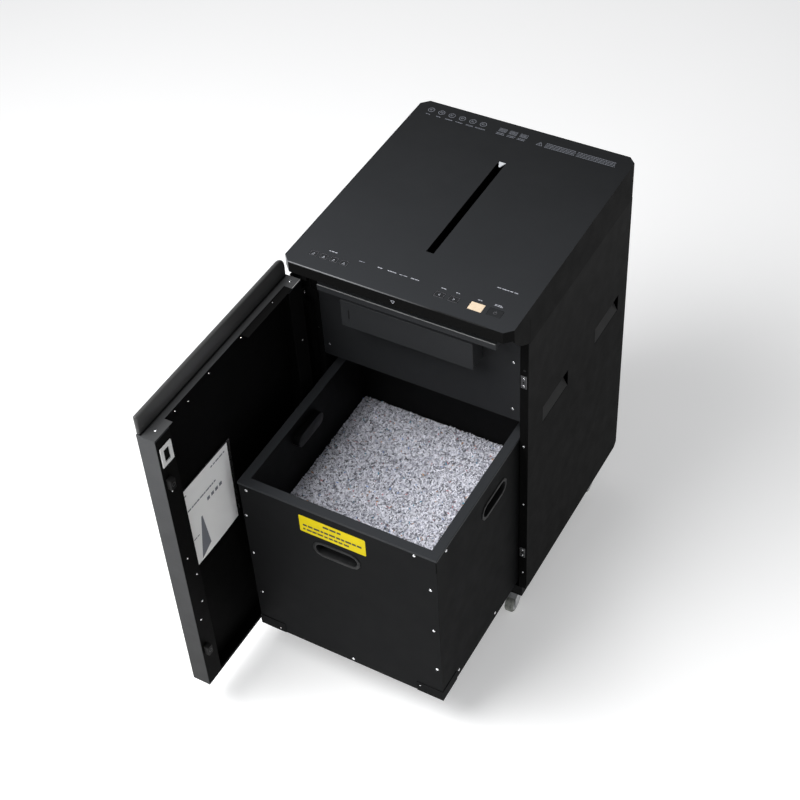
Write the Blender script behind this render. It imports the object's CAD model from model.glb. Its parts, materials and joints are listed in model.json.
"""The looks of a floor-standing office paper shredder, with its door open and its bin pulled out.

Metres. Places on the cabinet are given from the middle of the cover's front face, and places on
the door as if it were shut. CABINET_PLACE and DOOR_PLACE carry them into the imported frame.
"""

import json
import math
import random

import bmesh
import bpy
from mathutils import Euler, Matrix, Vector, noise

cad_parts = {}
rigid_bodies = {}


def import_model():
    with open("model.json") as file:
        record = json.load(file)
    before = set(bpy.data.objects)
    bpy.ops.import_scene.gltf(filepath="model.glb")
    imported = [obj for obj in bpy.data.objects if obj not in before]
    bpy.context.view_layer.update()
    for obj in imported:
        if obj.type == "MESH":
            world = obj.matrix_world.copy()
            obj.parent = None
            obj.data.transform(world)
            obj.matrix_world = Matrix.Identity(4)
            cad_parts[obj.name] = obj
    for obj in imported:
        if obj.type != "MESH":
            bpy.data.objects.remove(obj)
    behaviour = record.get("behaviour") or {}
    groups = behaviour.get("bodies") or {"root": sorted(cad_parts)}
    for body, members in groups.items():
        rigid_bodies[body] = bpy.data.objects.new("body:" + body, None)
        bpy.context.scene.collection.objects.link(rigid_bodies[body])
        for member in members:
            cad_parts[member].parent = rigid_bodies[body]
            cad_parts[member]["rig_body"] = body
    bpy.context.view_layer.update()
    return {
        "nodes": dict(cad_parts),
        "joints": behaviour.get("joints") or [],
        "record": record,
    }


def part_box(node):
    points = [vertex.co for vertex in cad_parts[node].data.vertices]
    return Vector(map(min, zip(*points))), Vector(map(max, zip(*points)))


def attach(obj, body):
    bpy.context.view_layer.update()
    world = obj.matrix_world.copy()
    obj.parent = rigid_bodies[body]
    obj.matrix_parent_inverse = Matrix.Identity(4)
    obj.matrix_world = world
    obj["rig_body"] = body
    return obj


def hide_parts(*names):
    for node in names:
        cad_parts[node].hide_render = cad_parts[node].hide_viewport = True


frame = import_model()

COVER_LOW, COVER_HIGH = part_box("top_cover")
BIN_LOW, BIN_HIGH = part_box("bin_shell")
RIM_LOW, RIM_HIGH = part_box("bin_rim")
FILL_LOW, FILL_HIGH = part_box("shredded_paper")
MIDDLE = (COVER_LOW.x + COVER_HIGH.x) / 2
TOP = COVER_HIGH.z
SLOT_OF = {part["node"]: part["material_slot"] for part in frame["record"]["subparts"]}
DOOR_OPEN = math.radians(-90.68)
HINGE = Vector(next(j for j in frame["joints"] if j["name"] == "door_hinge")["pos_m"])
HINGE_SHUT = Vector((-0.2585, 0.0485, 0.0))
DOOR_PLACE = (
    Matrix.Translation((HINGE.x, HINGE.y, 0.0))
    @ Matrix.Rotation(DOOR_OPEN, 4, "Z")
    @ Matrix.Translation(-HINGE_SHUT)
)
CABINET_PLACE = Matrix.Translation((MIDDLE, COVER_LOW.y, 0.0))
DOOR_FACE = 0.0700  # the door's inner face, as if shut
DOOR_FLOOR = 0.0463  # the floor of its recess
DOOR_END = 0.2495  # how far the door reaches from its middle, either way
OUT = Vector((0, -1, 0))
UPRIGHT = Matrix.Rotation(math.radians(90), 4, "X")  # stands a flat piece up, facing the front
INK = 0.00012  # how thick printed marks are
LIFT = 0.00003  # how far printed marks stand clear of their surface


# Finishes


class Finish:
    """A node material, with short calls for the nodes that the finishes share."""

    def __init__(self, name, **constants):
        self.material = bpy.data.materials.new(name)
        self.material.use_nodes = True
        self.tree = self.material.node_tree
        self.shader = self.tree.nodes["Principled BSDF"]
        for socket, value in constants.items():
            self.shader.inputs[socket.replace("_", " ")].default_value = value
        self.place = self.tree.nodes.new("ShaderNodeTexCoord").outputs["Object"]

    def link(self, start, end):
        self.tree.links.new(start, end)

    def mapping(self, stretch, turn=(0.0, 0.0, 0.0)):
        node = self.tree.nodes.new("ShaderNodeMapping")
        node.inputs["Scale"].default_value = stretch
        node.inputs["Rotation"].default_value = turn
        self.link(self.place, node.inputs["Vector"])
        return node.outputs["Vector"]

    def cloud(self, scale, detail=4.0, roughness=0.55, place=None):
        node = self.tree.nodes.new("ShaderNodeTexNoise")
        node.inputs["Scale"].default_value = scale
        node.inputs["Detail"].default_value = detail
        node.inputs["Roughness"].default_value = roughness
        self.link(place or self.place, node.inputs["Vector"])
        return node.outputs["Fac"]

    def cells(self, scale):
        node = self.tree.nodes.new("ShaderNodeTexVoronoi")
        node.inputs["Scale"].default_value = scale
        self.link(self.place, node.inputs["Vector"])
        return node.outputs["Distance"]

    def ramp(self, value, stops):
        node = self.tree.nodes.new("ShaderNodeValToRGB")
        band = node.color_ramp
        while len(band.elements) < len(stops):
            band.elements.new(0.5)
        for element, (at, colour) in zip(band.elements, stops):
            element.position = at
            element.color = (*colour, 1.0)
        self.link(value, node.inputs["Fac"])
        return node.outputs["Color"]

    def spread(self, value, low, high, start=0.3, end=0.7):
        node = self.tree.nodes.new("ShaderNodeMapRange")
        node.inputs["From Min"].default_value = start
        node.inputs["From Max"].default_value = end
        node.inputs["To Min"].default_value = low
        node.inputs["To Max"].default_value = high
        self.link(value, node.inputs["Value"])
        return node.outputs["Result"]

    def blend(self, kind, share, first, second):
        node = self.tree.nodes.new("ShaderNodeMix")
        node.data_type = "RGBA"
        node.blend_type = kind
        if isinstance(share, float):
            node.inputs["Factor"].default_value = share
        else:
            self.link(share, node.inputs["Factor"])
        self.link(first, node.inputs["A"])
        self.link(second, node.inputs["B"])
        return node.outputs["Result"]

    def colour(self, output):
        self.link(output, self.shader.inputs["Base Color"])

    def gloss(self, output):
        self.link(output, self.shader.inputs["Roughness"])

    def relief(self, height, depth, strength=1.0):
        node = self.tree.nodes.new("ShaderNodeBump")
        node.inputs["Distance"].default_value = depth
        node.inputs["Strength"].default_value = strength
        self.link(height, node.inputs["Height"])
        self.link(node.outputs["Normal"], self.shader.inputs["Normal"])


def grey(level, tint=0.0):
    """A grey of this level, a little bluer the higher its tint."""
    return (level * (1 - tint), level, level * (1 + 1.6 * tint))


def powder_coat(name, level, tint, rough, specular, relief_depth, fade=None):
    """Stoved powder paint: an orange-peel skin, a faint mottle and fine dust.

    With a fade, (axis, start, end, gain), its colour is multiplied by gain toward the end.
    """
    coat = Finish(name, **{"Specular IOR Level": specular})
    shades = [(0.35, grey(level * 0.97, tint)), (0.65, grey(level * 1.03, tint))]
    mottle = coat.ramp(coat.cloud(7.0), shades)
    dust = coat.cloud(1500.0, detail=1.0)
    fleck = coat.ramp(dust, [(0.40, grey(0.42)), (0.72, grey(0.62))])
    skin = coat.blend("OVERLAY", 0.55, mottle, fleck)
    if fade:
        axis, start, end, gain = fade
        split = coat.tree.nodes.new("ShaderNodeSeparateXYZ")
        coat.link(coat.place, split.inputs["Vector"])
        along = coat.spread(split.outputs[axis], 0.0, 1.0, start, end)
        share = coat.ramp(along, [(0.0, grey(1.0)), (1.0, grey(gain))])
        skin = coat.blend("MULTIPLY", 1.0, skin, share)
    coat.colour(skin)
    coat.gloss(coat.spread(coat.cloud(26.0), rough - 0.03, rough + 0.04))
    coat.relief(coat.cloud(620.0, detail=2.0), relief_depth, 0.5)
    return coat.material


def moulded_plastic(name, level, tint, rough, specular=0.35):
    """Injection-moulded black plastic with a fine spark-eroded grain."""
    plastic = Finish(name, **{"Specular IOR Level": specular})
    shades = [(0.3, grey(level * 0.96, tint)), (0.7, grey(level * 1.04, tint))]
    plastic.colour(plastic.ramp(plastic.cloud(14.0), shades))
    plastic.gloss(plastic.spread(plastic.cloud(60.0), rough - 0.06, rough + 0.08))
    plastic.relief(plastic.cells(1400.0), 0.00008, 0.35)
    return plastic.material


def bare_steel(name, level, rough, grain=(1.0, 1.0, 60.0)):
    """Zinc-plated or ground steel with drawn lines and faint stains."""
    steel = Finish(name, Metallic=1.0)
    lines = steel.cloud(90.0, detail=3.0, place=steel.mapping(grain))
    shades = [(0.3, grey(level * 0.8, 0.01)), (0.7, grey(level * 1.1, 0.01))]
    stain = steel.ramp(steel.cloud(22.0), shades)
    streak = steel.ramp(lines, [(0.3, grey(0.38)), (0.7, grey(0.62))])
    steel.colour(steel.blend("OVERLAY", 0.5, stain, streak))
    steel.gloss(steel.spread(lines, rough - 0.08, rough + 0.12))
    steel.relief(lines, 0.00006, 0.4)
    return steel.material


def printed_ink(name, colour):
    """Screen-printed ink: slightly broken, slightly raised."""
    ink = Finish(name, **{"Specular IOR Level": 0.3})
    worn = ink.cloud(900.0, detail=2.0)
    ink.colour(ink.ramp(worn, [(0.25, tuple(c * 0.8 for c in colour)), (0.6, colour)]))
    ink.gloss(ink.spread(worn, 0.42, 0.6))
    return ink.material


def cut_paper():
    """Confetti of copier paper: each flake keeps the shade that it was cut from."""
    paper = Finish("cut_paper", Roughness=0.9, **{"Specular IOR Level": 0.2})
    shade = paper.tree.nodes.new("ShaderNodeAttribute")
    shade.attribute_name = "flake_shade"
    fibre = paper.ramp(paper.cloud(1800.0, detail=2.0), [(0.3, grey(0.44)), (0.7, grey(0.56))])
    paper.colour(paper.blend("OVERLAY", 0.6, shade.outputs["Color"], fibre))
    paper.relief(paper.cloud(1200.0), 0.0001, 0.4)
    return paper.material


def copier_sheet(name, level):
    """A printed leaf: faint fibre and a slow unevenness."""
    sheet = Finish(name, Roughness=0.7, **{"Specular IOR Level": 0.3})
    slow = sheet.ramp(sheet.cloud(5.0), [(0.3, grey(level * 0.9)), (0.7, grey(level))])
    fibre = sheet.ramp(sheet.cloud(700.0), [(0.3, grey(0.46)), (0.7, grey(0.54))])
    sheet.colour(sheet.blend("OVERLAY", 0.5, slow, fibre))
    sheet.relief(sheet.cloud(60.0), 0.0004, 0.3)
    return sheet.material


def vinyl_label():
    """A glossy yellow label with a faint wrinkle."""
    vinyl = Finish("vinyl_label", **{"Specular IOR Level": 0.06})
    yellows = [(0.3, (0.64, 0.510, 0.0030)), (0.7, (0.70, 0.565, 0.0040))]
    vinyl.colour(vinyl.ramp(vinyl.cloud(30.0), yellows))
    vinyl.gloss(vinyl.spread(vinyl.cloud(12.0), 0.32, 0.5))
    vinyl.relief(vinyl.cloud(40.0), 0.0003, 0.25)
    return vinyl.material


def lit_panel():
    """The start key's lens, lit from behind and a little brighter at its middle."""
    lens = Finish("lit_lens", Roughness=0.35, **{"Specular IOR Level": 0.4})
    warm = lens.ramp(lens.cloud(160.0), [(0.3, (0.60, 0.48, 0.34)), (0.7, (0.66, 0.53, 0.39))])
    lens.colour(warm)
    lens.link(warm, lens.shader.inputs["Emission Color"])
    lens.shader.inputs["Emission Strength"].default_value = 0.10
    return lens.material


def circuit_board():
    """Green lacquer over copper tracks."""
    board = Finish("board_lacquer", Roughness=0.4)
    tracks = board.cells(220.0)
    board.colour(board.ramp(tracks, [(0.35, (0.012, 0.075, 0.030)), (0.6, (0.03, 0.14, 0.06))]))
    board.relief(tracks, 0.0001, 0.5)
    return board.material


def caster_tread():
    """Grey-green rubber with scuffs."""
    tread = Finish("caster_tread", **{"Specular IOR Level": 0.3})
    scuff = tread.cloud(120.0, detail=5.0)
    tread.colour(tread.ramp(scuff, [(0.35, (0.20, 0.21, 0.19)), (0.65, (0.36, 0.37, 0.34))]))
    tread.gloss(tread.spread(scuff, 0.5, 0.75))
    tread.relief(scuff, 0.0003, 0.4)
    return tread.material


COVER_FADE = ("Y", -0.08, 0.50, 0.42)
COVER_EDGE_FADE = ("X", -0.10, 0.12, 0.03)
DOOR_EDGE_FADE = ("Z", 0.88, 0.10, 0.22)
SIDE_PANEL_FADE = ("Z", 0.86, 0.55, 0.32)
COATS = {
    "cover": powder_coat("cover_coat", 0.0265, 0.06, 0.50, 0.10, 0.00008, COVER_FADE),
    "paint": powder_coat("cabinet_coat", 0.0048, 0.00, 0.55, 0.015, 0.00008),
    "strip": powder_coat("door_tab_coat", 0.048, 0.02, 0.45, 0.25, 0.00008),
    "moulding": moulded_plastic("black_moulding", 0.007, 0.04, 0.42, 0.15),
    "key": moulded_plastic("key_cap", 0.0150, 0.06, 0.40, 0.15),
    "lit_key": lit_panel(),
    "steel": bare_steel("plated_steel", 0.55, 0.32),
    "white": moulded_plastic("white_moulding", 0.74, 0.0, 0.40, 0.45),
    "magnet": moulded_plastic("catch_case", 0.006, 0.0, 0.55, 0.10),
    "motor": bare_steel("motor_case", 0.20, 0.42, (1.0, 20.0, 1.0)),
    "board": circuit_board(),
    "shreds": cut_paper(),
    "wheel": caster_tread(),
}
# The cover
EDGE_LIGHT = powder_coat("cover_edge_coat", 0.20, 0.02, 0.40, 0.20, 0.00004, COVER_EDGE_FADE)
EDGE_FAINT = powder_coat("cover_side_edge_coat", 0.060, 0.0, 0.45, 0.20, 0.00004)
CORNER_LIGHT = powder_coat("cover_corner_coat", 0.22, 0.02, 0.45, 0.20, 0.00004)
SIDE_COAT = powder_coat("cover_side_coat", 0.0055, 0.0, 0.55, 0.02, 0.00008)
GUIDE = moulded_plastic("guide_moulding", 0.55, 0.03, 0.35, 0.5)
# The cabinet
SIDE_PANEL = powder_coat("side_panel_coat", 0.0125, 0.0, 0.55, 0.02, 0.00008, SIDE_PANEL_FADE)
GRIP_COAT = powder_coat("grip_coat", 0.040, 0.0, 0.50, 0.10, 0.00008)
PANEL_COAT = powder_coat("panel_coat", 0.0160, 0.05, 0.50, 0.15, 0.00008)
BASE_COAT = powder_coat("base_coat", 0.0085, 0.02, 0.50, 0.03, 0.00008)
BAR_COAT = powder_coat("stop_bar_coat", 0.0270, 0.05, 0.50, 0.20, 0.00008)
LATCH_COAT = powder_coat("latch_cover_coat", 0.0200, 0.05, 0.50, 0.20, 0.00008)
TAB_EDGE = powder_coat("bar_edge_coat", 0.30, 0.0, 0.45, 0.20, 0.00004)
RECESS_COAT = powder_coat("recess_coat", 0.0018, 0.0, 0.62, 0.02, 0.00008)
STRIKE_STEEL = bare_steel("strike_steel", 0.17, 0.42)
SCREW_STEEL = bare_steel("screw_steel", 0.80, 0.22, (1.0, 1.0, 1.0))
RATING_PLATE = copier_sheet("rating_plate", 0.50)
# The door
DOOR_EDGE = powder_coat("door_edge_coat", 0.056, 0.03, 0.46, 0.15, 0.00006, DOOR_EDGE_FADE)
DOOR_BAND = powder_coat("door_band_coat", 0.0200, 0.06, 0.48, 0.10, 0.00008)
LIP_COAT = powder_coat("door_lip_coat", 0.052, 0.0, 0.40, 0.35, 0.00006)
LEAF = copier_sheet("manual_leaf", 0.93)
POUCH = moulded_plastic("pouch_film", 0.020, 0.0, 0.25, 0.3)
# The bin
BIN_COAT = powder_coat("bin_coat", 0.0082, 0.03, 0.55, 0.02, 0.00008)
BIN_FRONT = powder_coat("bin_front_coat", 0.0108, 0.03, 0.55, 0.02, 0.00008)
BIN_INSIDE = powder_coat("bin_inside_coat", 0.006, 0.02, 0.60, 0.06, 0.00008)
FLANGE_COAT = powder_coat("bin_flange_coat", 0.0310, 0.06, 0.50, 0.10, 0.00008)
LABEL = vinyl_label()
# Printed marks
PALE_PRINT = printed_ink("pale_print", (0.40, 0.41, 0.45))
GREY_PRINT = printed_ink("grey_print", (0.20, 0.21, 0.24))
FAINT_PRINT = printed_ink("faint_print", (0.105, 0.105, 0.115))
BLACK_PRINT = printed_ink("black_print", (0.035, 0.030, 0.012))
DARK_HOLE = printed_ink("dark_hole", (0.003, 0.003, 0.003))


# Making pieces


def piece(name, shape, body, finishes, smooth=False):
    bmesh.ops.recalc_face_normals(shape, faces=shape.faces)
    mesh = bpy.data.meshes.new(name)
    shape.to_mesh(mesh)
    shape.free()
    for finish in finishes:
        mesh.materials.append(finish)
    if smooth:
        mesh.shade_smooth()
        mesh.set_sharp_from_angle(angle=math.radians(40))
    obj = bpy.data.objects.new(name, mesh)
    bpy.context.scene.collection.objects.link(obj)
    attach(obj, body)
    return obj


def blocks(name, corners, place, body, finishes):
    """A piece made of blocks, each between two corners, carried by the matrix place."""
    shape = bmesh.new()
    for low, high in corners:
        add_bar(shape, low, high)
    bmesh.ops.transform(shape, matrix=place, verts=shape.verts)
    return piece(name, shape, body, finishes)


def body_of(node):
    return frame["nodes"][node]["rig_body"]


def add_bar(shape, low, high, finish=0):
    """A block between two corners."""
    low, high = Vector(low), Vector(high)
    made = bmesh.ops.create_cube(shape, size=1.0)["verts"]
    size = Matrix.Diagonal((*(high - low), 1.0))
    bmesh.ops.transform(shape, matrix=Matrix.Translation((low + high) / 2) @ size, verts=made)
    for face in {f for v in made for f in v.link_faces}:
        face.material_index = finish
    return made


def add_outline(shape, points):
    """One flat face through these points."""
    return shape.faces.new([shape.verts.new(point) for point in points])


def raise_face(shape, faces, way):
    """Extrudes these faces along way and returns the new vertices."""
    grown = bmesh.ops.extrude_face_region(shape, geom=list(faces))["geom"]
    raised = [item for item in grown if isinstance(item, bmesh.types.BMVert)]
    bmesh.ops.translate(shape, vec=way, verts=raised)
    return raised


def ease(shape, edges, radius, segments):
    """Rounds these edges."""
    bmesh.ops.bevel(
        shape,
        geom=list(edges),
        offset=radius,
        offset_type="OFFSET",
        affect="EDGES",
        segments=segments,
        profile=0.5,
        material=-1,
        clamp_overlap=True,
    )


def add_disc(shape, matrix, radius, thick, count=16, finish=0):
    """A round plate standing on its matrix's xy plane."""
    made = bmesh.ops.create_cone(
        shape, cap_ends=True, segments=count, radius1=radius, radius2=radius, depth=thick
    )["verts"]
    bmesh.ops.transform(shape, matrix=matrix @ Matrix.Translation((0, 0, thick / 2)), verts=made)
    for face in {f for v in made for f in v.link_faces}:
        face.material_index = finish
    return made


def add_ring(shape, matrix, outer, inner, thick, count=24):
    """A flat ring standing on its matrix's xy plane, spun from one quad."""
    points = ((inner, 0, 0), (outer, 0, 0), (outer, 0, thick), (inner, 0, thick))
    quad = add_outline(shape, points)
    ring = bmesh.ops.spin(
        shape,
        geom=[quad, *quad.edges, *quad.verts],
        cent=(0, 0, 0),
        axis=(0, 0, 1),
        angle=2 * math.pi,
        steps=count,
        use_merge=True,
    )
    start = list(quad.verts)
    if quad.is_valid:
        bmesh.ops.delete(shape, geom=[quad], context="FACES_ONLY")
    edges = {e for v in start if v.is_valid for e in v.link_edges}
    found = set(start)
    while edges:
        more = {v for e in edges for v in e.verts} - found
        found |= more
        edges = {e for v in more for e in v.link_edges}
    bmesh.ops.transform(shape, matrix=matrix, verts=[v for v in found if v.is_valid])
    return ring


def add_screw(shape, place, toward, radius=0.0035, slotted=True):
    """A domed head with a cross in it: finish 0 is steel and finish 1 the dark recess."""
    facing = Vector(toward).to_track_quat("Z", "Y").to_matrix().to_4x4()
    matrix = Matrix.Translation(place) @ facing
    tall = radius * 0.42
    made = bmesh.ops.create_uvsphere(shape, u_segments=14, v_segments=8, radius=radius)["verts"]
    for vert in made:
        vert.co.z = max(vert.co.z, -radius * 0.1) * tall / radius
    bmesh.ops.transform(shape, matrix=matrix, verts=made)
    if slotted:
        turn = Matrix.Rotation(place[0] * 900 + place[2] * 400, 4, "Z")
        long, thin = radius * 0.60, radius * 0.13
        for size in ((long, thin), (thin, long)):
            low = (-size[0], -size[1], tall * 0.80)
            bar = add_bar(shape, low, (size[0], size[1], tall * 1.02), 1)
            bmesh.ops.transform(shape, matrix=matrix @ turn, verts=bar)


def rounded(node, radius, segments=2, finishes=None, smooth=False, least=0.55):
    """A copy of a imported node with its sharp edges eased, standing for that node."""
    shape = bmesh.new()
    shape.from_mesh(frame["nodes"][node].data)
    bmesh.ops.remove_doubles(shape, verts=shape.verts, dist=0.00002)
    bmesh.ops.dissolve_limit(
        shape, angle_limit=math.radians(1.0), verts=shape.verts, edges=shape.edges
    )
    sharp = [e for e in shape.edges if e.is_manifold and e.calc_face_angle(0.0) > least]
    ease(shape, sharp, radius, segments)
    bmesh.ops.dissolve_degenerate(shape, dist=0.000005, edges=shape.edges)
    finishes = finishes or [COATS[SLOT_OF[node]]]
    obj = piece(f"{node}_edged", shape, body_of(node), finishes, smooth)
    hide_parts(node)
    return obj


def paint_faces(obj, index, chosen):
    """Gives the chosen faces the piece's finish of this index."""
    for polygon in obj.data.polygons:
        if chosen(polygon):
            polygon.material_index = index


def print_bars(shape, place, left, right, y_low, y_high, lines, gap, seed, finish=0, fill=0.62):
    """Rows of short dashes in place of wording, on a plane whose matrix is place."""
    dice = random.Random(seed)
    pitch = (y_high - y_low) / lines
    for line in range(lines):
        low = y_low + line * pitch + pitch * (1 - fill) / 2
        x = left
        while x < right - gap:
            end = min(x + dice.uniform(1.2, 3.6) * gap, right)
            bar = add_bar(shape, (x, low, 0), (end, low + pitch * fill, INK), finish)
            bmesh.ops.transform(shape, matrix=place, verts=bar)
            x = end + gap * dice.uniform(0.35, 0.8)


def print_frame(shape, place, left, right, low, high, line, finish=0):
    """An outline of four bars."""
    bars = (
        ((left, low), (right, low + line)),
        ((left, high - line), (right, high)),
        ((left, low + line), (left + line, high - line)),
        ((right - line, low + line), (right, high - line)),
    )
    for start, end in bars:
        bar = add_bar(shape, (*start, 0), (*end, INK), finish)
        bmesh.ops.transform(shape, matrix=place, verts=bar)


# The cabinet's own finishes, then each piece


for node, obj in frame["nodes"].items():
    obj.data.materials.clear()
    obj.data.materials.append(COATS[SLOT_OF[node]])

ON_TOP = CABINET_PLACE @ Matrix.Translation((0, 0, TOP + LIFT))


def is_front_left_corner(polygon):
    way, at = polygon.normal, polygon.center
    return way.x < -0.5 and way.y < -0.5 and at.y < COVER_LOW.y + 0.02


def finish_cover():
    cover = rounded("top_cover", 0.0013, 2, [COATS["cover"], CORNER_LIGHT, EDGE_FAINT, SIDE_COAT])
    paint_faces(cover, 3, lambda p: abs(p.normal.z) < 0.1)
    paint_faces(cover, 2, lambda p: 0.1 < p.normal.z < 0.98 and p.normal.x > 0.1)
    paint_faces(cover, 1, is_front_left_corner)
    edge = (-0.2335, -0.0002, TOP - 0.0016), (0.2000, 0.0014, TOP + 0.0001)
    blocks("cover_front_edge", [edge], CABINET_PLACE, "cabinet", [EDGE_LIGHT])

    shape = bmesh.new()
    outline = (
        (0.0165, 0.9225), (0.0170, 0.9150), (0.0390, 0.8880),
        (0.0610, 0.8720), (0.0842, 0.8570), (0.0842, 0.9225),
    )
    for x in (-0.2498, 0.2472):
        face = add_outline(shape, [(x, *point) for point in outline])
        raise_face(shape, [face], (0.0026, 0, 0))
    bmesh.ops.transform(shape, matrix=CABINET_PLACE, verts=shape.verts)
    piece("cover_cheeks", shape, "cabinet", [SIDE_COAT])

    seals = [((x, 0.0900, 0.8480), (x + 0.0018, 0.5770, 0.8640)) for x in (-0.2243, 0.2225)]
    blocks("cover_seals", seals, CABINET_PLACE, "cabinet", [RECESS_COAT])


def print_cover():
    """Rows of dashes beside the keys, and the ringed signs along the rear edge."""
    shape = bmesh.new()
    for left, right, low, high, lines, gap, seed, fill in (
        (-0.1760, -0.1560, 0.0612, 0.0642, 1, 0.0022, 1, 0.62),
        (-0.0660, -0.0555, 0.0592, 0.0628, 1, 0.0022, 3, 0.62),
        (-0.0440, -0.0250, 0.0595, 0.0625, 1, 0.0022, 4, 0.62),
        (-0.0180, 0.0008, 0.0600, 0.0618, 1, 0.0026, 5, 0.62),
        (0.0075, 0.0262, 0.0595, 0.0625, 1, 0.0022, 6, 0.62),
        (0.0730, 0.0835, 0.0605, 0.0635, 1, 0.0020, 7, 0.62),
        (0.1045, 0.1150, 0.0605, 0.0635, 1, 0.0020, 8, 0.62),
        (0.1510, 0.1610, 0.0608, 0.0638, 1, 0.0020, 9, 0.62),
        (0.1860, 0.2030, 0.0605, 0.0665, 2, 0.0018, 10, 0.45),
        (0.1680, 0.2115, 0.1082, 0.1112, 1, 0.0034, 12, 0.62),
    ):
        print_bars(shape, ON_TOP, left, right, low, high, lines, gap, seed, fill=fill)
    piece("top_labels", shape, "cabinet", [PALE_PRINT])

    shape = bmesh.new()
    print_bars(shape, ON_TOP, -0.108, -0.094, 0.0602, 0.0628, 1, 0.0022, 2)
    for i, width in enumerate((0.0050, 0.0050, 0.0085, 0.0085, 0.0085, 0.0115)):
        place = ON_TOP @ Matrix.Translation((-0.216 + 0.0250 * i, 0.5605, 0))
        rows = 1 + (i > 3)
        add_ring(shape, place, 0.0074, 0.0065, INK)
        print_bars(shape, place, -0.0034, 0.0034, -0.0030, 0.0034, 2, 0.0014, 20 + i, fill=0.36)
        print_bars(
            shape, place, -width, width, -0.0185, -0.0140, rows, 0.0014, 40 + i, fill=0.4
        )
    for i in range(3):
        place = ON_TOP @ Matrix.Translation((-0.0440 + 0.0245 * i, 0.5575, 0))
        print_frame(shape, place, -0.0085, 0.0085, -0.0035, 0.0080, 0.0006)
        print_bars(shape, place, -0.0070, 0.0070, -0.0020, 0.0066, 3, 0.0013, 60 + i, fill=0.36)
        print_bars(shape, place, -0.0095, 0.0095, -0.0150, -0.0070, 2, 0.0014, 70 + i, fill=0.36)
    for start, tilt in ((0.0400, 60), (0.0530, 120), (0.0400, 0)):
        arm = add_bar(shape, (0, -0.0004, 0), (0.0130, 0.0004, INK))
        turn = Matrix.Rotation(math.radians(tilt), 4, "Z")
        corner = Matrix.Translation((start, 0.5450, 0))
        bmesh.ops.transform(shape, matrix=ON_TOP @ corner @ turn, verts=arm)
    print_bars(shape, ON_TOP, 0.0450, 0.0480, 0.5470, 0.5520, 2, 0.0012, 80, fill=0.4)
    print_bars(shape, ON_TOP, 0.0590, 0.1270, 0.5420, 0.5600, 4, 0.0016, 81, fill=0.30)
    print_bars(shape, ON_TOP, 0.1310, 0.2180, 0.5420, 0.5600, 4, 0.0016, 82, fill=0.30)
    piece("top_guide_marks", shape, "cabinet", [GREY_PRINT])

    shape = bmesh.new()
    on_front = CABINET_PLACE @ Matrix.Translation((0, -LIFT, 0.9335)) @ UPRIGHT
    for turn in (0, 120, 240):
        arm = add_bar(shape, (-0.0042, -0.0028, 0), (0.0042, -0.0018, INK))
        around = Matrix.Rotation(math.radians(turn + 180), 4, "Z")
        bmesh.ops.transform(shape, matrix=on_front @ around, verts=arm)
    piece("front_pointer", shape, "cabinet", [PALE_PRINT])


def on_key(name):
    """The place of a key's top, and half its size across and along."""
    low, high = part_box(name)
    place = Matrix.Translation(((low.x + high.x) / 2, (low.y + high.y) / 2, high.z + LIFT))
    return place, (high.x - low.x) / 2, (high.y - low.y) / 2


def finish_keys():
    arrows = {"reverse_key": 1, "forward_key": -1}
    printed = ["mode_key_1", "mode_key_2", "mode_key_3", "mode_key_4", *arrows]
    inset, line = 0.0006, 0.0005
    for name in printed:
        place, half_x, half_y = on_key(name)
        shape = bmesh.new()
        print_frame(
            shape, place, inset - half_x, half_x - inset, inset - half_y, half_y - inset, line
        )
        if name in arrows:
            way = arrows[name]
            for tilt in (0.62, -0.62):
                arm = add_bar(shape, (0, -0.0004, 0), (0.0044, 0.0004, INK), 1)
                turn = Matrix.Rotation(tilt if way > 0 else math.pi + tilt, 4, "Z")
                shift = Matrix.Translation((-0.0020 * way, 0, 0))
                bmesh.ops.transform(shape, matrix=place @ shift @ turn, verts=arm)
        else:
            seed = ord(name[-1])
            add_disc(shape, place, 0.0012, INK, 12, 1)
            print_bars(shape, place, -0.0030, 0.0030, -0.0044, -0.0026, 1, 0.0012, seed, 1)
        piece(f"{name}_print", shape, body_of(name), [FAINT_PRINT, PALE_PRINT])
    for name in [*printed, "start_key", "power_key"]:
        rounded(name, 0.0004, 2)
    place = on_key("power_key")[0]
    shape = bmesh.new()
    add_ring(shape, place, 0.0036, 0.0029, INK)
    stroke = add_bar(shape, (-0.0004, 0.0008, 0), (0.0004, 0.0050, 0.00014))
    bmesh.ops.transform(shape, matrix=place, verts=stroke)
    piece("power_key_print", shape, body_of("power_key"), [FAINT_PRINT])


def finish_slot():
    """A pale wedge at the rear end of the slot guides the sheet's corner."""
    shape = bmesh.new()
    x, back = 0.0046, 0.4600
    wide, narrow, front = 0.0079, 0.0018, back - 0.0150
    points = ((x - wide, back), (x + wide, back), (x + narrow, front), (x - narrow, front))
    face = add_outline(shape, [(*point, TOP - 0.0020) for point in points])
    tops = raise_face(shape, [face], (0, 0, 0.0024))
    for vert in tops:
        if vert.co.y < back - 0.01:
            vert.co.z -= 0.0002
    ease(shape, shape.edges, 0.0006, 2)
    bmesh.ops.transform(shape, matrix=CABINET_PLACE, verts=shape.verts)
    piece("slot_guide", shape, "cabinet", [GUIDE])


def is_grip_slope(polygon):
    way = polygon.normal
    return 0.35 < way.z < 0.55 and abs(way.x) > 0.8 and polygon.area > 0.001


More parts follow.
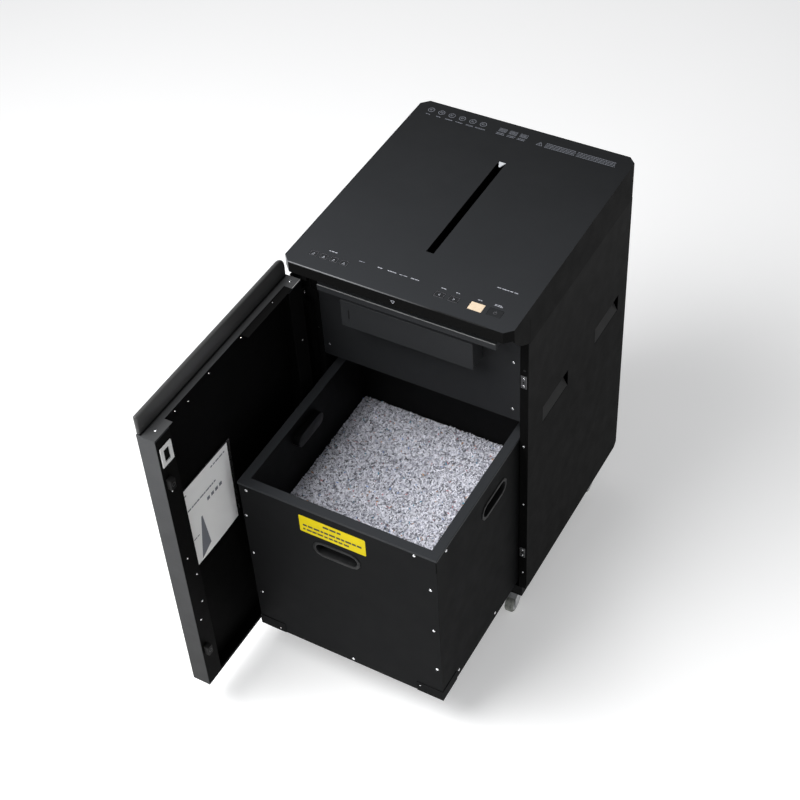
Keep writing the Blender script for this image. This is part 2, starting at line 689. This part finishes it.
def finish_cabinet():
    for side in ("left", "right"):
        panel = rounded(f"side_panel_{side}", 0.0005, 2, [SIDE_PANEL, GRIP_COAT])
        paint_faces(panel, 1, is_grip_slope)
    rounded("front_post_left", 0.0005, 2)
    rounded("front_post_right", 0.0005, 2)
    rounded("base_pan", 0.0006, 2, [BASE_COAT])
    rounded("mechanism_panel", 0.0004, 1, [PANEL_COAT])
    rounded("door_stop_bar", 0.0006, 3, [BAR_COAT])
    rounded("latch_cover", 0.0006, 3, [LATCH_COAT])
    rounded("strike_plate_upper", 0.0005, 2, [STRIKE_STEEL])
    rounded("strike_plate_lower", 0.0005, 2, [STRIKE_STEEL])
    rounded("power_inlet", 0.0006, 2)
    frame["nodes"]["feed_throat"].data.materials[0] = RECESS_COAT
    finish_cabinet_fixings()
    finish_hinge_cover()
    finish_rating_plate()


def finish_cabinet_fixings():
    """Screws, holes and the stop bar's bright edge."""
    shape = bmesh.new()
    post_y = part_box("front_post_right")[0].y
    strike_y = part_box("strike_plate_upper")[0].y
    strike_x = sum(corner.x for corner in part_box("strike_plate_upper")) / 2
    for height in (0.757, 0.7365, 0.2290, 0.2120):
        add_screw(shape, (strike_x, strike_y, height), OUT, 0.0026)
    for height in (0.560, 0.380, 0.150):
        add_screw(shape, (strike_x, post_y, height), OUT, 0.0028)
        add_screw(shape, (2 * MIDDLE - strike_x, post_y, height - 0.05), OUT, 0.0028)
    add_screw(shape, (MIDDLE - 0.2560, COVER_LOW.y + 0.0715, 0.8000), OUT, 0.0026, False)
    panel_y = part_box("mechanism_panel")[0].y
    for x, height in ((-0.2162, 0.660), (0.2146, 0.7903), (0.2124, 0.660)):
        add_screw(shape, (MIDDLE + x, panel_y, height), OUT, 0.0030)
    back_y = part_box("back_panel")[1].y
    for x in (-0.232, -0.08, 0.08, 0.232):
        for height in (0.112, 0.300, 0.480, 0.660, 0.840):
            if abs(x) > 0.2 or height in (0.112, 0.840):
                add_screw(shape, (MIDDLE + x, back_y, height), (0, 1, 0), 0.0035)
    under_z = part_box("base_pan")[0].z
    for x in (-0.2, 0.2):
        for y in (0.150, 0.300, 0.450):
            add_screw(shape, (MIDDLE + x, COVER_LOW.y + y, under_z), (0, 0, -1), 0.0035)
    piece("cabinet_screws", shape, "cabinet", [SCREW_STEEL, DARK_HOLE], smooth=True)

    shape = bmesh.new()
    for x, y, z, radius in (
        (strike_x + 0.001, post_y, 0.7780, 0.0030),
        (strike_x, strike_y, 0.7470, 0.0022),
        (strike_x, strike_y, 0.2205, 0.0022),
        (2 * MIDDLE - strike_x, post_y, 0.7000, 0.0025),
    ):
        add_disc(shape, Matrix.Translation((x, y - 0.0001, z)) @ UPRIGHT, radius, 0.00015)
    slit = add_bar(shape, (-0.1335, -0.0001, 0.800), (-0.1305, 0.0, 0.8235))
    on_latch = Matrix.Translation((MIDDLE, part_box("latch_cover")[0].y, 0))
    bmesh.ops.transform(shape, matrix=on_latch, verts=slit)
    piece("cabinet_holes", shape, "cabinet", [DARK_HOLE])

    low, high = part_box("door_stop_bar")
    shape = bmesh.new()
    start = (low.x + 0.001, low.y - 0.0002, high.z - 0.0012)
    add_bar(shape, start, (high.x - 0.001, low.y + 0.0012, high.z + 0.0001))
    piece("stop_bar_edge", shape, "cabinet", [TAB_EDGE])


def finish_hinge_cover():
    """Angles up the left corner, with gaps for the hinge's knuckles, and a cap over them."""
    shape = bmesh.new()
    profile = (
        (-0.2665, 0.0840), (-0.2665, 0.0450), (-0.2625, 0.0450),
        (-0.2625, 0.0715), (-0.2465, 0.0715), (-0.2465, 0.0840),
    )
    for low, high in ((0.1000, 0.1335), (0.1860, 0.7805), (0.8345, 0.8660)):
        face = add_outline(shape, [(*point, low) for point in profile])
        raise_face(shape, [face], (0, 0, high - low))
    profile = (
        (-0.2682, 0.0857), (-0.2682, 0.0660), (-0.2667, 0.0660),
        (-0.2667, 0.0843), (-0.2483, 0.0843), (-0.2483, 0.0857),
    )
    face = add_outline(shape, [(*point, 0.1000) for point in profile])
    raise_face(shape, [face], (0, 0, 0.7545))
    bmesh.ops.transform(shape, matrix=CABINET_PLACE, verts=shape.verts)
    piece("hinge_cover", shape, "cabinet", [COATS["paint"]])


def finish_rating_plate():
    back_y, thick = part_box("back_panel")[1].y, 0.0003
    place = Matrix.Translation((MIDDLE - 0.06, back_y + 0.0001, 0.46))
    place = place @ Matrix.Rotation(math.radians(-90), 4, "X") @ Matrix.Rotation(math.pi, 4, "Z")
    plate = (-0.045, -0.028, 0), (0.045, 0.028, thick)
    blocks("rating_plate", [plate], place, "cabinet", [RATING_PLATE])
    shape = bmesh.new()
    raised = place @ Matrix.Translation((0, 0, thick))
    print_bars(shape, raised, -0.040, 0.020, -0.023, 0.023, 7, 0.0020, 90)
    print_frame(shape, raised, 0.025, 0.040, -0.020, 0.000, 0.0008)
    piece("rating_plate_print", shape, "cabinet", [BLACK_PRINT])


ALONG_DOOR = (DOOR_PLACE.to_3x3() @ Vector((1, 0, 0))).normalized()
INTO_DOOR = (DOOR_PLACE.to_3x3() @ Vector((0, 1, 0))).normalized()


def is_door_end(polygon):
    end = (DOOR_PLACE @ Vector((0.2490, 0, 0))).dot(ALONG_DOOR)
    return polygon.normal.dot(ALONG_DOOR) > 0.5 and polygon.center.dot(ALONG_DOOR) > end


def is_recess(polygon):
    depth = (DOOR_PLACE @ Vector((0, DOOR_FACE - 0.001, 0))).dot(INTO_DOOR)
    return polygon.center.dot(INTO_DOOR) < depth


def finish_door():
    shell = rounded("door_shell", 0.0007, 2, [COATS["paint"], DOOR_EDGE])
    paint_faces(shell, 1, lambda p: p.normal.dot(ALONG_DOOR) > 0.5)
    liner = rounded("door_liner", 0.0005, 2, [COATS["paint"], DOOR_EDGE, RECESS_COAT])
    paint_faces(liner, 2, is_recess)
    paint_faces(liner, 1, is_door_end)
    strip = rounded("door_strip", 0.0005, 2, [DOOR_BAND, DOOR_EDGE])
    paint_faces(strip, 1, is_door_end)
    rounded("door_lip", 0.0044, 5, [LIP_COAT], smooth=True)
    rounded("latch_receiver", 0.0008, 2)
    rounded("catch_magnet_upper", 0.0010, 2)
    rounded("catch_magnet_lower", 0.0010, 2)

    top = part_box("door_strip")[1].z
    tabs = (
        ((-DOOR_END, 0.0387, top), (-0.2180, 0.0697, top + 0.0006)),
        ((0.1930, 0.0387, top), (DOOR_END, 0.0697, top + 0.0006)),
        ((-0.2180, 0.0387, top), (0.1930, 0.0510, top + 0.0006)),
    )
    blocks("door_tabs", tabs, DOOR_PLACE, "door", [COATS["strip"]])
    cover = (-0.2490, 0.0512, top - 0.0004), (-0.0600, 0.0699, top + 0.0002)
    blocks("door_top_cover_strip", [cover], DOOR_PLACE, "door", [COATS["paint"]])
    edge = (-0.2490, 0.0689, top + 0.0001), (-0.2185, 0.0700, top + 0.0008)
    blocks("hinge_tab_edge", [edge], DOOR_PLACE, "door", [TAB_EDGE])
    groove = (-DOOR_END, 0.0367, top), (DOOR_END, 0.0387, top + 0.0003)
    blocks("door_top_groove", [groove], DOOR_PLACE, "door", [DARK_HOLE])

    shape = bmesh.new()
    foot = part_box("door_shell")[0].z + 0.0004
    add_bar(shape, (0.2496, 0.0276, foot), (0.2506, 0.0697, top - 0.0030))
    ease(shape, shape.edges, 0.0003, 2)
    add_bar(shape, (0.2496, 0.0276, top - 0.0029), (0.2508, 0.0697, top + 0.0004))
    bmesh.ops.transform(shape, matrix=DOOR_PLACE, verts=shape.verts)
    piece("door_end_cap", shape, "door", [DOOR_EDGE])

    shape = bmesh.new()
    up = (0, 0, 1)
    for x in (-0.2352, 0.2253):
        add_screw(shape, DOOR_PLACE @ Vector((x, 0.0540, top + 0.0006)), up, 0.0034)
    for x, y in (
        (0.1678, 0.0568), (0.1349, 0.0642), (0.0563, 0.0571), (-0.0543, 0.0570), (-0.1662, 0.0566),
    ):
        add_screw(shape, DOOR_PLACE @ Vector((x, y, top)), up, 0.0017, False)
    for x, z in (
        (0.2315, 0.7166), (0.2322, 0.5139), (0.2158, 0.4462), (0.2181, 0.3592),
        (0.2330, 0.3140), (-0.2320, 0.7166), (-0.2320, 0.3140),
    ):
        add_screw(shape, DOOR_PLACE @ Vector((x, DOOR_FACE, z)), INTO_DOOR, 0.0026, False)
    piece("door_screws", shape, "door", [SCREW_STEEL, DARK_HOLE], smooth=True)

    rail = (-0.2450, 0.0455, 0.1010), (0.2130, 0.0699, 0.1098)
    blocks("door_bottom_rail", [rail], DOOR_PLACE, "door", [RECESS_COAT])

    shape = bmesh.new()
    for height in (0.7470, 0.2205):
        place = DOOR_PLACE @ Matrix.Translation((0.2377, 0.0823, height))
        place = place @ Matrix.Rotation(math.radians(-90), 4, "X")
        add_ring(shape, place, 0.0048, 0.0037, 0.0003)
    piece("catch_rings", shape, "door", [COATS["strip"]])


def leaf_bow(x, z):
    """How far the manual bows off the recess floor, at a place across and up the door."""
    across, down = (x - 0.036) / 0.168, (0.655 - z) / 0.225
    across, down = max(0.0, min(1.0, across)), max(0.0, min(1.0, down))
    return 0.0016 * math.sin(math.pi * across) * down


def leaf(name, corners, depth, finish):
    """A thin sheet over the recess floor, its corners given as places across and up the door."""
    shape = bmesh.new()
    grid = bmesh.ops.create_grid(shape, x_segments=14, y_segments=18, size=0.5)["verts"]
    a, b, c, d = (Vector(corner) for corner in corners)
    for vert in grid:
        u, v = vert.co.x + 0.5, vert.co.y + 0.5
        flat = (b * (1 - u) + c * u) * (1 - v) + (a * (1 - u) + d * u) * v
        vert.co = Vector((flat.x, DOOR_FLOOR + depth + leaf_bow(flat.x, flat.y), flat.y))
    raise_face(shape, shape.faces, (0, 0.0003, 0))
    bmesh.ops.transform(shape, matrix=DOOR_PLACE, verts=shape.verts)
    piece(name, shape, "door", [finish])


def finish_manual():
    """The instruction sheet in its pouch; its marks are laid out from its top outer corner."""
    pouch = (0.0255, 0.6565), (0.0300, 0.4310), (0.2040, 0.4290), (0.2040, 0.6570)
    leaf("manual_pouch", pouch, 0.0034, POUCH)
    sheet = (0.0358, 0.6528), (0.0403, 0.4338), (0.2035, 0.4304), (0.2035, 0.6543)
    leaf("manual_leaf", sheet, 0.0042, LEAF)
    corner_x, corner_z = sheet[-1]
    shape = bmesh.new()
    flat, thick = Matrix.Identity(4), 0.0001
    print_bars(shape, flat, 0.0040, 0.0250, 0.0125, 0.0180, 1, 0.0030, 101)
    print_bars(shape, flat, 0.1075, 0.1575, 0.0130, 0.0190, 1, 0.0040, 102)
    print_bars(shape, flat, 0.0040, 0.1177, 0.0570, 0.0635, 1, 0.0036, 103)
    print_bars(shape, flat, 0.0045, 0.0375, 0.1460, 0.1500, 1, 0.0034, 104)
    for i in range(4):
        x = 0.0142 * i
        add_bar(shape, (0.0800 + x, 0.0790, 0), (0.0890 + x, 0.0880, thick))
    figure = ((0.0525, 0.1090), (0.0565, 0.1090), (0.0665, 0.2000), (0.0325, 0.2190))
    face = add_outline(shape, [(*corner, 0) for corner in figure])
    raise_face(shape, [face], (0, 0, thick))
    for vert in shape.verts:
        x, z = corner_x - vert.co.x, corner_z - vert.co.y
        vert.co = Vector((x, DOOR_FLOOR + 0.0047 + leaf_bow(x, z) + vert.co.z, z))
    bmesh.ops.transform(shape, matrix=DOOR_PLACE, verts=shape.verts)
    piece("manual_print", shape, "door", [GREY_PRINT])


def finish_bin():
    shell = rounded("bin_shell", 0.0005, 2, [BIN_COAT, BIN_INSIDE, BIN_FRONT])
    centre = (BIN_LOW + BIN_HIGH) / 2
    half = (BIN_HIGH - BIN_LOW) / 2

    def inside(polygon):
        away = polygon.center - centre
        return (
            abs(away.x) < half.x - 0.0008
            and abs(away.y) < half.y - 0.0008
            and polygon.center.z > BIN_LOW.z + 0.0008
        )

    paint_faces(shell, 2, lambda p: p.normal.y < -0.9)
    paint_faces(shell, 1, inside)
    rounded("bin_rim", 0.0009, 3, [FLANGE_COAT])
    for side in ("front", "left", "right"):
        rounded(f"bin_handle_{side}", 0.0005, 2, smooth=True)
    finish_rivets()
    finish_bin_edges()
    finish_bin_label()


def finish_rivets():
    shape = bmesh.new()
    radius = 0.0034
    for x, z in (
        (-0.2090, 0.560), (-0.2200, 0.478), (-0.2185, 0.358), (-0.2125, 0.228),
        (-0.1770, 0.120), (0.0075, 0.121), (0.1775, 0.567), (0.2100, 0.478),
        (0.2125, 0.347), (0.2155, 0.216), (0.1720, 0.131),
    ):
        z = min(z, RIM_LOW.z - 0.006)
        add_screw(shape, (MIDDLE + x, BIN_LOW.y, z), OUT, radius, False)
    on_side = (
        (-0.232, 0.566), (-0.199, 0.130), (-0.0285, 0.127), (0.150, 0.130), (0.185, 0.540),
    )
    for side, way in ((BIN_HIGH.x, 1), (BIN_LOW.x, -1)):
        for y, z in on_side:
            add_screw(shape, (side, COVER_LOW.y + y, z), (way, 0, 0), radius, False)
    for x in (-0.19, 0.0, 0.19):
        for z in (0.13, 0.54):
            add_screw(shape, (MIDDLE + x, BIN_HIGH.y, z), (0, 1, 0), radius, False)
    piece("bin_rivets", shape, "bin", [SCREW_STEEL], smooth=True)


def finish_bin_edges():
    """The inward flange around the top, a corner seam and the brackets at the floor."""
    left, right = BIN_LOW.x, BIN_HIGH.x
    front, back = BIN_LOW.y, BIN_HIGH.y
    wall = 0.0008

    shape = bmesh.new()
    top, wide = RIM_HIGH.z + 0.0001, 0.019
    under, in_left, in_right = top - 0.0014, left + wall, right - wall
    add_bar(shape, (in_left, front + wall, under), (in_right, front + wide, top))
    add_bar(shape, (in_left, back - wide, under), (in_right, back - wall, top))
    add_bar(shape, (in_left, front + wide, under), (left + wide, back - wide, top))
    add_bar(shape, (right - wide, front + wide, under), (in_right, back - wide, top))
    piece("bin_flange", shape, "bin", [FLANGE_COAT])
    shape = bmesh.new()
    start = (right - 0.0016, front - 0.0002, RIM_LOW.z - 0.034)
    add_bar(shape, start, (right + 0.0002, front + 0.0010, RIM_LOW.z))
    piece("bin_corner_seam", shape, "bin", [RECESS_COAT])

    shape = bmesh.new()
    for x, x_way in ((left, 1), (right, -1)):
        for y, y_way in ((front, 1), (back, -1)):
            out, arm = -0.0012, 0.062
            corner = ((out, out), (arm, out), (arm, 0.0), (0.0, 0.0), (0.0, arm), (out, arm))
            points = [(x + u * x_way, y + v * y_way, BIN_LOW.z) for u, v in corner]
            raise_face(shape, [add_outline(shape, points)], (0, 0, 0.030))
    piece("bin_corner_brackets", shape, "bin", [BIN_COAT])


def finish_bin_label():
    place = Matrix.Translation((MIDDLE, BIN_LOW.y - 0.0001, 0)) @ UPRIGHT
    shape = bmesh.new()
    left, right, thick = -0.086, 0.067, 0.0002
    low, high = RIM_LOW.z - 0.0702, RIM_LOW.z - 0.0212
    add_outline(shape, ((left, low, 0), (right, low, 0), (right, high, 0), (left, high, 0)))
    bmesh.ops.bevel(
        shape,
        geom=list(shape.verts),
        offset=0.003,
        affect="VERTICES",
        segments=3,
        profile=0.5,
        material=-1,
    )
    raise_face(shape, shape.faces, (0, 0, thick))
    bmesh.ops.transform(shape, matrix=place, verts=shape.verts)
    piece("bin_label", shape, "bin", [LABEL])
    shape = bmesh.new()
    raised = place @ Matrix.Translation((0, 0, thick))
    print_bars(shape, raised, -0.030, 0.018, high - 0.0150, high - 0.0060, 1, 0.0042, 111)
    print_bars(shape, raised, -0.078, 0.058, low + 0.0175, low + 0.0265, 1, 0.0040, 112)
    print_bars(shape, raised, -0.078, 0.030, low + 0.0060, low + 0.0140, 1, 0.0040, 113)
    piece("bin_label_print", shape, "bin", [BLACK_PRINT])


FLAKE_INKS = ((0.10, 0.30, 0.42), (0.62, 0.36, 0.20), (0.30, 0.42, 0.70), (0.55, 0.28, 0.30))


def flake_colour(dice):
    """Mostly near white; one flake in ten is dark, some are grey and a few are coloured."""
    tone = dice.random()
    level = dice.uniform(0.84, 0.97)
    colour = (level * 0.960, level * 0.965, level * 1.05)
    if tone < 0.10:
        level = dice.uniform(0.10, 0.32)
        colour = (level * 0.95, level * 0.96, level * 1.08)
    elif tone < 0.26:
        level = dice.uniform(0.34, 0.52)
        colour = (level * 0.95, level * 0.96, level * 1.10)
    elif tone < 0.278:
        colour = dice.choice(FLAKE_INKS)
    return (*colour, 1.0)


def swell_of(x, y, seed, fine, fine_seed, fine_height):
    """How far the heap rises at x, y: broad swells and finer lumps."""
    broad = noise.noise(Vector((x * 7, y * 7, seed))) * 0.004
    return broad + noise.noise(Vector((x * fine, y * fine, fine_seed))) * fine_height


def shred_layer(name, seed, across, along, lift):
    """One layer of confetti: a grid split into single flakes, each turned, tilted and shaded."""
    dice = random.Random(seed)
    low, high = FILL_LOW, FILL_HIGH
    shape = bmesh.new()
    bmesh.ops.create_grid(shape, x_segments=across, y_segments=along, size=0.5)
    bmesh.ops.split_edges(shape, edges=shape.edges)
    shade = shape.loops.layers.float_color.new("flake_shade")
    margin = 0.008
    wide, deep = high.x - low.x - margin, high.y - low.y - margin
    centre = (low + high) / 2
    for face in shape.faces:
        middle = face.calc_center_median()
        x = middle.x * wide + dice.gauss(0, 0.0012)
        y = middle.y * deep + dice.gauss(0, 0.0012)
        x = max(-wide / 2, min(wide / 2, x))
        y = max(-deep / 2, min(deep / 2, y))
        swell = swell_of(x, y, seed, 60, seed + 4, 0.0022)
        tilt = Euler((dice.gauss(0, 0.42), dice.gauss(0, 0.42), dice.uniform(0, math.pi)))
        turn = tilt.to_matrix()
        length, width = dice.uniform(0.0036, 0.0072), dice.uniform(0.0018, 0.0030)
        height = high.z - 0.0040 + swell + lift + dice.uniform(-0.0018, 0.0018)
        place = Vector((centre.x + x, centre.y + y, height))
        corners = ((-1, -1), (1, -1), (1, 1), (-1, 1))
        for vert, (u, v) in zip(face.verts, corners):
            vert.co = place + turn @ Vector((u * length / 2, v * width / 2, 0))
        colour = flake_colour(dice)
        for loop in face.loops:
            loop[shade] = colour
    bmesh.ops.recalc_face_normals(shape, faces=shape.faces)
    bmesh.ops.solidify(shape, geom=list(shape.faces), thickness=0.00012)
    piece(name, shape, "bin", [COATS["shreds"]])


def finish_shreds():
    """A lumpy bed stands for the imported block, under three layers of loose flakes."""
    shape = bmesh.new()
    low, high = FILL_LOW, FILL_HIGH
    bmesh.ops.create_grid(shape, x_segments=90, y_segments=98, size=0.5)
    shade = shape.loops.layers.float_color.new("flake_shade")
    wide, deep = high.x - low.x, high.y - low.y
    centre = (low + high) / 2
    for vert in shape.verts:
        x, y = vert.co.x * wide, vert.co.y * deep
        swell = swell_of(x, y, 5, 190, 9, 0.0025)
        vert.co = Vector((centre.x + x, centre.y + y, high.z - 0.0085 + swell))
    for vert in raise_face(shape, shape.faces, (0, 0, -0.01)):
        vert.co.z = low.z
    for face in shape.faces:
        for loop in face.loops:
            loop[shade] = (0.62, 0.62, 0.66, 1.0)
    bed = piece("shred_bed", shape, "bin", [COATS["shreds"]])
    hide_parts("shredded_paper")
    shred_layer("shreds_lower", 5, 118, 128, -0.0012)
    shred_layer("shreds_upper", 6, 118, 128, 0.0006)
    shred_layer("shreds_loose", 7, 92, 100, 0.0020)


def finish_casters():
    sides = ("front_left", "front_right", "rear_left", "rear_right")
    for name in [f"caster_{side}" for side in sides]:
        rounded(f"{name}_fork", 0.0004, 2, [COATS["steel"]])
        low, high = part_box(f"{name}_wheel")
        middle = (low + high) / 2
        shape = bmesh.new()
        for way in (-1, 1):
            face = high.x if way > 0 else low.x
            place = Matrix.Translation((face, middle.y, middle.z))
            place = place @ Matrix.Rotation(math.radians(90 * way), 4, "Y")
            add_ring(shape, place, 0.0150, 0.0062, 0.0005, 28)
        piece(f"{name}_hub_rings", shape, f"{name}_wheel", [COATS["steel"]])


def set_stage():
    shape = bmesh.new()
    bmesh.ops.create_grid(shape, x_segments=1, y_segments=1, size=20.0)
    mesh = bpy.data.meshes.new("studio_floor")
    shape.to_mesh(mesh)
    shape.free()
    floor = bpy.data.objects.new("studio_floor", mesh)
    bpy.context.scene.collection.objects.link(floor)
    paper = Finish("studio_paper", Roughness=0.85, **{"Specular IOR Level": 0.1})
    paper.colour(paper.ramp(paper.cloud(0.8), [(0.3, grey(0.84)), (0.7, grey(0.86))]))
    paper.shader.inputs["Emission Color"].default_value = (1.0, 1.0, 1.0, 1.0)
    paper.shader.inputs["Emission Strength"].default_value = 0.34
    floor.data.materials.append(paper.material)

    world = bpy.data.worlds.new("studio_air")
    world.use_nodes = True
    air = world.node_tree.nodes["Background"].inputs
    air["Color"].default_value = (0.97, 0.98, 1.0, 1.0)
    air["Strength"].default_value = 0.28
    bpy.context.scene.world = world
    white, cool = (1.0, 1.0, 1.0), (0.96, 0.98, 1.0)
    lamps = (
        ("overhead_softbox", (-0.85, -1.25, 2.75), (0.0, 0.0, 0.6), 1.8, 1.6, 100.0, white),
        ("left_softbox", (-2.9, -2.3, 2.1), (0.0, -0.2, 0.5), 1.6, 2.0, 26.0, cool),
        ("rear_softbox", (-1.5, 2.6, 2.8), (0.0, 0.2, 0.8), 2.2, 1.4, 7.0, white),
    )
    for name, place, target, wide, tall, power, colour in lamps:
        lamp = bpy.data.lights.new(name, "AREA")
        lamp.shape = "RECTANGLE"
        lamp.size, lamp.size_y = wide, tall
        lamp.energy = power
        lamp.color = colour
        obj = bpy.data.objects.new(name, lamp)
        obj.location = place
        aim = Vector(target) - Vector(place)
        obj.rotation_euler = aim.to_track_quat("-Z", "Y").to_euler()
        bpy.context.scene.collection.objects.link(obj)


def set_camera():
    place = (1.23147, -2.01939, 3.00540)
    turn, tilt, roll = (math.radians(angle) for angle in (-31.80, 45.47, -3.93))
    level = math.cos(tilt)
    look = Vector((math.sin(turn) * level, math.cos(turn) * level, -math.sin(tilt)))
    right = Vector((math.cos(turn), -math.sin(turn), 0.0))
    upright = right.cross(look)
    lens = bpy.data.cameras.new("studio_camera")
    lens.lens = 73.08
    lens.sensor_width = 36.0
    camera = bpy.data.objects.new("studio_camera", lens)
    across = right * math.cos(roll) + upright * math.sin(roll)
    above = upright * math.cos(roll) - right * math.sin(roll)
    axes = Matrix((across, above, -look)).transposed().to_4x4()
    camera.matrix_world = Matrix.Translation(place) @ axes
    lens.clip_start, lens.clip_end = 0.1, 60.0
    bpy.context.scene.collection.objects.link(camera)
    bpy.context.scene.camera = camera


bpy.context.scene.view_settings.view_transform = "Standard"
set_camera()
set_stage()
finish_cover()
print_cover()
finish_keys()
finish_slot()
finish_cabinet()
finish_door()
finish_manual()
finish_bin()
finish_shreds()
finish_casters()
